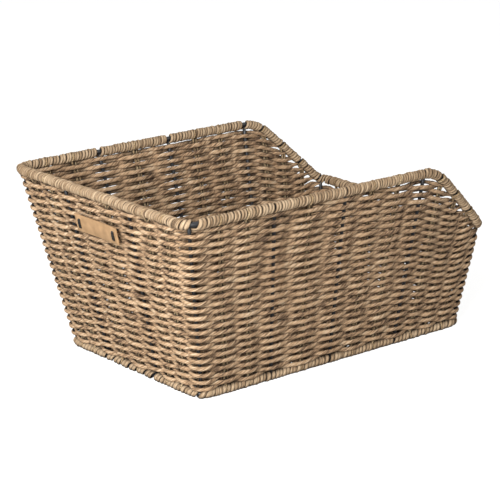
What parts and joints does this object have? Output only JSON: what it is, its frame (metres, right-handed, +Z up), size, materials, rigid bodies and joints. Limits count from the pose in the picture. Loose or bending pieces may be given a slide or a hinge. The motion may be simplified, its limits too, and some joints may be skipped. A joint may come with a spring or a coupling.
{
  "type": "bicycle basket",
  "caption": "Tapered rectangular rear-carrier bicycle basket of woven seagrass cord on a black wire frame, with wrapped rim and base and a rim that dips at one end.",
  "frame": {"origin": "on the ground under the middle of the rim", "axes": "+X along the length towards the low end, +Y across the basket, +Z up"},
  "size_m": [0.4589, 0.3246, 0.2149],
  "materials": {
    "seagrass_cord": "dry twisted seagrass cord, matt",
    "seagrass_stake": "doubled seagrass cord, matt",
    "seagrass_wrap": "seagrass strands wound close, matt",
    "black_steel": "black powder coat",
    "tan_leather": "plain tan leather, unprinted",
    "black_thread": "black thread"
  },
  "bodies": {
    "root": {"wire_frame": "black_steel", "rim_wrapping": "seagrass_wrap", "base_wrapping": "seagrass_wrap", "seagrass_stake_01": "seagrass_stake", "seagrass_stake_02": "seagrass_stake", "seagrass_stake_03": "seagrass_stake", "seagrass_stake_04": "seagrass_stake", "seagrass_stake_05": "seagrass_stake", "seagrass_stake_06": "seagrass_stake", "seagrass_stake_07": "seagrass_stake", "seagrass_stake_08": "seagrass_stake", "seagrass_stake_09": "seagrass_stake", "seagrass_stake_10": "seagrass_stake", "seagrass_stake_11": "seagrass_stake", "seagrass_stake_12": "seagrass_stake", "seagrass_stake_13": "seagrass_stake", "seagrass_stake_14": "seagrass_stake", "seagrass_stake_15": "seagrass_stake", "seagrass_stake_16": "seagrass_stake", "seagrass_stake_17": "seagrass_stake", "seagrass_stake_18": "seagrass_stake", "seagrass_stake_19": "seagrass_stake", "seagrass_stake_20": "seagrass_stake", "seagrass_stake_21": "seagrass_stake", "seagrass_stake_22": "seagrass_stake", "seagrass_stake_23": "seagrass_stake", "seagrass_stake_24": "seagrass_stake", "seagrass_stake_25": "seagrass_stake", "seagrass_stake_26": "seagrass_stake", "seagrass_stake_27": "seagrass_stake", "seagrass_stake_28": "seagrass_stake", "weaver_row_01": "seagrass_cord", "weaver_row_02": "seagrass_cord", "weaver_row_03": "seagrass_cord", "weaver_row_04": "seagrass_cord", "weaver_row_05": "seagrass_cord", "weaver_row_06": "seagrass_cord", "weaver_row_07": "seagrass_cord", "weaver_row_08": "seagrass_cord", "weaver_row_09": "seagrass_cord", "weaver_row_10": "seagrass_cord", "weaver_row_11": "seagrass_cord", "weaver_row_12": "seagrass_cord", "weaver_row_13": "seagrass_cord", "weaver_row_14": "seagrass_cord", "weaver_row_15": "seagrass_cord", "weaver_row_16": "seagrass_cord", "weaver_row_17": "seagrass_cord", "weaver_row_18": "seagrass_cord", "weaver_row_19": "seagrass_cord", "weaver_row_20": "seagrass_cord", "weaver_row_21": "seagrass_cord", "weaver_row_22": "seagrass_cord", "floor_weaver": "seagrass_cord", "label_patch": "tan_leather", "label_stitch_far": "black_thread", "label_stitch_near": "black_thread"}
  },
  "joints": []
}
